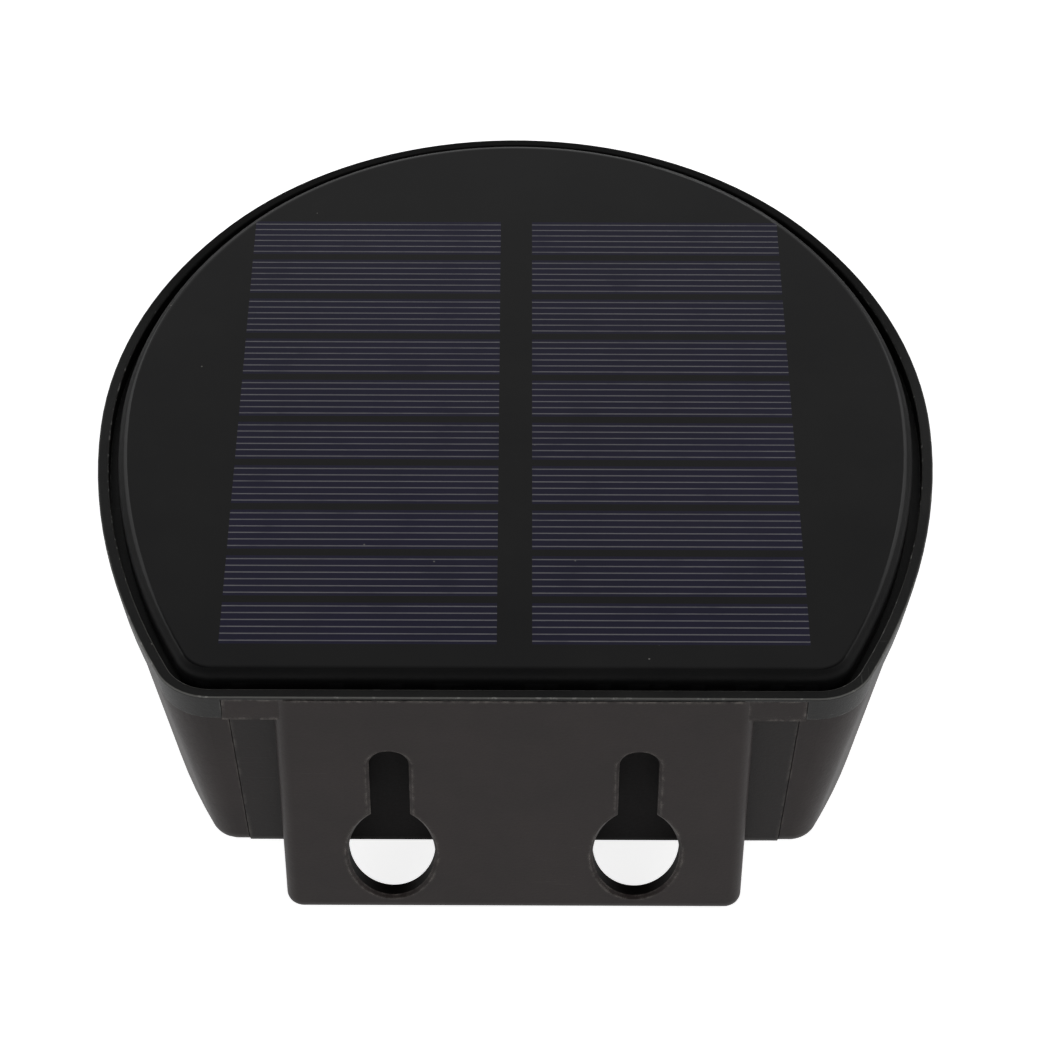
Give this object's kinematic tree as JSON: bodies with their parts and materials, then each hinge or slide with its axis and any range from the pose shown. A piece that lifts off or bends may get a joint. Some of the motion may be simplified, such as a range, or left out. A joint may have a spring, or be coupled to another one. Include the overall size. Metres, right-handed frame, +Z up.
{
  "type": "solar fence light",
  "caption": "D-shaped solar fence light with a tapered dark housing, downward lens and a flat keyhole mounting plate.",
  "frame": {"origin": "centre of the mounting plate's outer face, which lies on the wall", "axes": "+Y out of the plate into the wall, -Y towards the light's nose, +Z up, +X along the wall"},
  "size_m": [0.1206, 0.1195, 0.0472],
  "materials": {
    "cap_plastic": "satin black",
    "body_plastic": "satin dark brown-grey",
    "panel_board": "matt black",
    "solar_cell": "dark blue-black with fine silver lines",
    "panel_resin": "glossy clear over black",
    "foam": "matt",
    "rubber": "matt",
    "lens": "frosted",
    "white_plastic": "satin white",
    "board_green": "satin green",
    "led": "yellow phosphor",
    "components": "matt",
    "battery_can": "plain green wrap",
    "nickel": "nickel plated",
    "screw_steel": "zinc plated",
    "black_plastic": "satin",
    "lead_insulation": "red"
  },
  "bodies": {
    "housing": {"cap_frame": "cap_plastic", "panel_adhesive": "foam", "panel_board": "panel_board", "solar_cells": "solar_cell", "panel_resin": "panel_resin", "cap_gasket": "rubber", "body_shell": "body_plastic", "rear_cover": "body_plastic", "lens": "lens", "reflector": "white_plastic", "led_board": "white_plastic", "leds": "led", "control_board": "board_green", "control_components": "components", "battery_holder": "black_plastic", "battery": "battery_can", "battery_spring": "nickel", "battery_contact_plus": "nickel", "battery_contact_minus": "nickel", "cap_screws": "screw_steel", "switch_body": "black_plastic", "panel_leads": "lead_insulation", "battery_leads": "lead_insulation", "led_leads": "lead_insulation", "switch_leads": "lead_insulation"},
    "door": {"battery_door": "body_plastic", "door_seal": "rubber", "door_screw": "screw_steel"},
    "switch": {"switch_knob": "white_plastic"}
  },
  "joints": [
    {"name": "door_lift", "type": "slide", "parent": "housing", "child": "door", "axis": [0, 0, -1], "range_m": [0, 0.012]},
    {"name": "switch_slide", "type": "slide", "parent": "housing", "child": "switch", "axis": [0, 1, 0], "range_m": [0, 0.003]}
  ]
}
